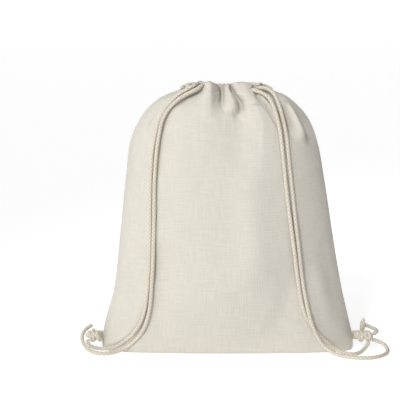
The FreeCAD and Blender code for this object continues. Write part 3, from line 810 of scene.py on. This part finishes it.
def stitchRow(name, line, lowX, highX, side):
    line = line[(line[:, 0] > lowX) & (line[:, 0] < highX)]
    line, along = evenly(line, 0.5 * mm)
    points, faces = [], []
    around, rings = stitching["around"], stitching["rings"]
    place = stitching["pitch"] / 2
    while place + stitching["length"] < along[-1]:
        spine = []
        for ring in range(rings):
            at = place + stitching["length"] * ring / (rings - 1)
            spot = np.array([np.interp(at, along, line[:, axis]) for axis in range(3)])
            spot[1] += side * stitching["thickness"] * (0.55 * math.sin(math.pi * ring / (rings - 1)) - 0.15)
            spine.append(spot)
        spine = np.array(spine)
        sides, ups = framesAlong(spine)
        first = len(points)
        for ring in range(rings):
            size = stitching["thickness"] / 2 * (0.6 + 0.4 * math.sin(math.pi * ring / (rings - 1)))
            for corner in range(around):
                angle = 2 * math.pi * corner / around
                points.append(spine[ring] + (sides[ring] * math.cos(angle) + ups[ring] * math.sin(angle)) * size)
        for face in gridFaces(rings, around, closed=True):
            faces.append(tuple(first + corner for corner in face))
        faces.append(tuple(first + corner for corner in reversed(range(around))))
        faces.append(tuple(first + (rings - 1) * around + corner for corner in range(around)))
        place += stitching["pitch"]
    return meshPiece(name, points, faces, np.zeros((len(points), 2)), thread)


backStitches = stitchRow("backCasingStitches", levelLine(backGrid, stitching["height"]), -31 * mm, 27 * mm, -1)
frontStitches = stitchRow("frontCasingStitches", levelLine(frontGrid, stitching["height"]), -36 * mm, 32 * mm, 1)
print("casing stitches made")


tab = {"root": (175.0, 0.0), "eye": (187.5, -3.5), "eyeRadius": 3.9, "bottom": 12.2, "height": 11.6,
       "plies": 0.8, "thickness": 1.3 * mm}


def cornerTab(name, side):
    # a strip of the bag's cloth, its edges turned in, folded round the eye with both ends in the side seam
    root, eye = Vector(tab["root"]), Vector(tab["eye"])
    along = (eye - root).normalized()
    across = Vector((-along.y, along.x))
    outline = [root + across * 0.5, root + along * 4 + across * tab["plies"],
               root + along * 7.5 + across * (tab["plies"] + 0.6)]
    for step in range(9):
        angle = math.radians(125 - 250 * step / 8)
        outline.append(eye + (along * math.cos(angle) + across * math.sin(angle)) * tab["eyeRadius"])
    outline += [root + along * 7.5 - across * (tab["plies"] + 0.6), root + along * 4 - across * tab["plies"],
                root - across * 0.5]
    line = smoothLine([(p.x * mm * side, p.y * mm, 0) for p in outline])
    line, lengths = evenly(line, 0.7 * mm)
    rows = 12
    points, uvs = [], []
    for row in range(rows):
        share = row / (rows - 1)
        bow = 0.25 * mm * math.cos(math.pi * (share - 0.5) * 2)
        for place, length in zip(line, lengths):
            wave = 0.35 * mm * math.sin(length / (5 * mm))
            z = tab["bottom"] * mm + tab["height"] * mm * share + wave * (share - 0.5)
            points.append((place[0] + side * bow, place[1], z))
            uvs.append((length, z))
    faces = gridFaces(rows, len(line))
    if side < 0:
        faces = [face[::-1] for face in faces]
    piece = meshPiece(name, points, faces, uvs, cloth)
    applyModifier(piece, "SOLIDIFY", thickness=tab["thickness"], offset=0.0)
    applyModifier(piece, "BEVEL", width=0.35 * mm, segments=2, limit_method="ANGLE")
    return piece


leftCornerTab = cornerTab("leftCornerTab", -1)
rightCornerTab = cornerTab("rightCornerTab", 1)
print("corner tabs made")


# CAD pieces that stay shown: the seam allowances inside the bag and the stitches in them and in the tabs
for node in ("left_side_seam", "right_side_seam", "bottom_seam"):
    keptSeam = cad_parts[node]
    for materialSlot in keptSeam.material_slots:
        materialSlot.material = seamCloth
for node in ("left_side_stitching", "right_side_stitching", "bottom_stitching", "left_tab_stitching",
             "right_tab_stitching"):
    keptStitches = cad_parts[node]
    for materialSlot in keptStitches.material_slots:
        materialSlot.material = thread


for piece in (backPanelCloth, frontPanelCloth, backStitches, frontStitches, leftCordInCasing, rightCordInCasing):
    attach(piece, "bag")
for piece in (leftKnot, leftTail):
    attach(piece, "left_strap")
for piece in (rightKnot, rightTail, rightLongTail):
    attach(piece, "right_strap")
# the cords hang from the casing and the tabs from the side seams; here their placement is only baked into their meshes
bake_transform(strands["leftInnerStrand"][0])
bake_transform(strands["leftOuterStrand"][0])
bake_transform(strands["rightInnerStrand"][0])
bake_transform(strands["rightOuterStrand"][0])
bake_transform(leftCornerTab)
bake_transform(rightCornerTab)

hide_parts("back_panel", "back_casing")
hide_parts("front_panel", "front_casing")
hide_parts("back_casing_stitching")
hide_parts("front_casing_stitching")
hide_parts("left_cord_in_casing")
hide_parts("right_cord_in_casing")
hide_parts("left_inner_shoulder_cord", "left_inner_strap_cord")
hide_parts("left_outer_shoulder_cord", "left_outer_strap_cord")
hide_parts("right_inner_shoulder_cord", "right_inner_strap_cord")
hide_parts("right_outer_shoulder_cord", "right_outer_strap_cord")
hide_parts("left_knot")
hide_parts("right_knot")
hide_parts("left_tail")
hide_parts("right_tail")
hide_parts("right_long_tail")
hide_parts("left_corner_tab")
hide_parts("right_corner_tab")

ends = {
    "leftInnerStrand": ("object", [leftTail]),
    "leftOuterStrand": ("knot", [leftKnot]),
    "rightInnerStrand": ("knot", [rightKnot]),
    "rightOuterStrand": ("knot", [rightTail, rightLongTail]),
}
for strandName, (farEnd, onIt) in ends.items():
    piece, line, length = strands[strandName]


studio = {
    "floor": "B4B4B4",
    "floorSize": 24.0,
    "floorGlow": 0.76,              # so that the ground is as white as the backdrop
    "wall": {"radius": 11.8, "depth": 1.8, "location": (0, 0, 0.89), "vertices": 96},
    "fillLeft": 0.06,
    "fillRight": 0.03,
    "key": {"direction": (0.72, 0.50, -0.48), "strength": 1.0, "spread": 40},
    "overhead": {"direction": (0.1, 0.15, -1.0), "strength": 0.8, "spread": 50},
    "spot": {"place": (-0.9, -2.2, 1.9), "aim": (-0.055, -0.06, 0.37), "power": 920.0, "cone": 12, "size": 0.45},
}


def softSun(name, direction, strength, spread):
    # direction is from the light to the object
    data = bpy.data.lights.new(name, "SUN")
    data.energy = strength
    data.angle = math.radians(spread)
    piece = bpy.data.objects.new(name, data)
    bpy.context.scene.collection.objects.link(piece)
    piece.rotation_euler = Vector(direction).to_track_quat("-Z", "Y").to_euler()


def griddedSpot(name, place, aim, power, cone, size):
    # a softbox with a grid: its light falls away to the sides
    data = bpy.data.lights.new(name, "SPOT")
    data.energy = power
    data.shadow_soft_size = size
    data.spot_size = math.radians(cone)
    data.spot_blend = 1.0
    piece = bpy.data.objects.new(name, data)
    bpy.context.scene.collection.objects.link(piece)
    piece.location = place
    piece.rotation_euler = (Vector(aim) - Vector(place)).to_track_quat("-Z", "Y").to_euler()


def makeStudio():
    bpy.ops.object.select_all(action="DESELECT")
    bpy.ops.mesh.primitive_plane_add(size=studio["floorSize"], location=(0, 0, -0.0004))
    floor = bpy.context.active_object
    floor.name = "studioFloor"
    material, tree = newMaterial("paintedStudioFloor")
    shader = addNode(tree, "ShaderNodeBsdfPrincipled", {"Base Color": linear(studio["floor"]), "Roughness": 0.9,
                     "Specular IOR Level": 0.1, "Emission Color": (1, 1, 1, 1),
                     "Emission Strength": studio["floorGlow"]})
    addNode(tree, "ShaderNodeOutputMaterial", {}, {"Surface": shader.outputs[0]})
    floor.data.materials.append(material)
    # a low wall all round in the same paint, so that a low camera sees no gap at the floor's edge
    bpy.ops.object.select_all(action="DESELECT")
    bpy.ops.mesh.primitive_cylinder_add(end_fill_type="NOTHING", **studio["wall"])
    wall = bpy.context.active_object
    wall.name = "studioWall"
    wall.data.materials.append(material)
    world = bpy.data.worlds.new("studioWorld")
    world.use_nodes = True
    tree = world.node_tree
    way = addNode(tree, "ShaderNodeTexCoord")
    parts = addNode(tree, "ShaderNodeSeparateXYZ", {}, {"Vector": way.outputs["Generated"]})
    fill = addNode(tree, "ShaderNodeMapRange", {"From Min": -1.0, "From Max": 1.0, "To Min": studio["fillLeft"],
                   "To Max": studio["fillRight"]}, {"Value": parts.outputs["X"]})
    tree.links.new(fill.outputs[0], tree.nodes["Background"].inputs["Strength"])
    tree.nodes["Background"].inputs["Color"].default_value = (1, 1, 1, 1)
    bpy.context.scene.world = world
    softSun("keySoftbox", **studio["key"])
    griddedSpot("griddedSoftbox", **studio["spot"])
    softSun("overheadSoftbox", **studio["overhead"])
    bpy.context.scene.view_settings.view_transform = "Standard"


makeStudio()
print("studio made")
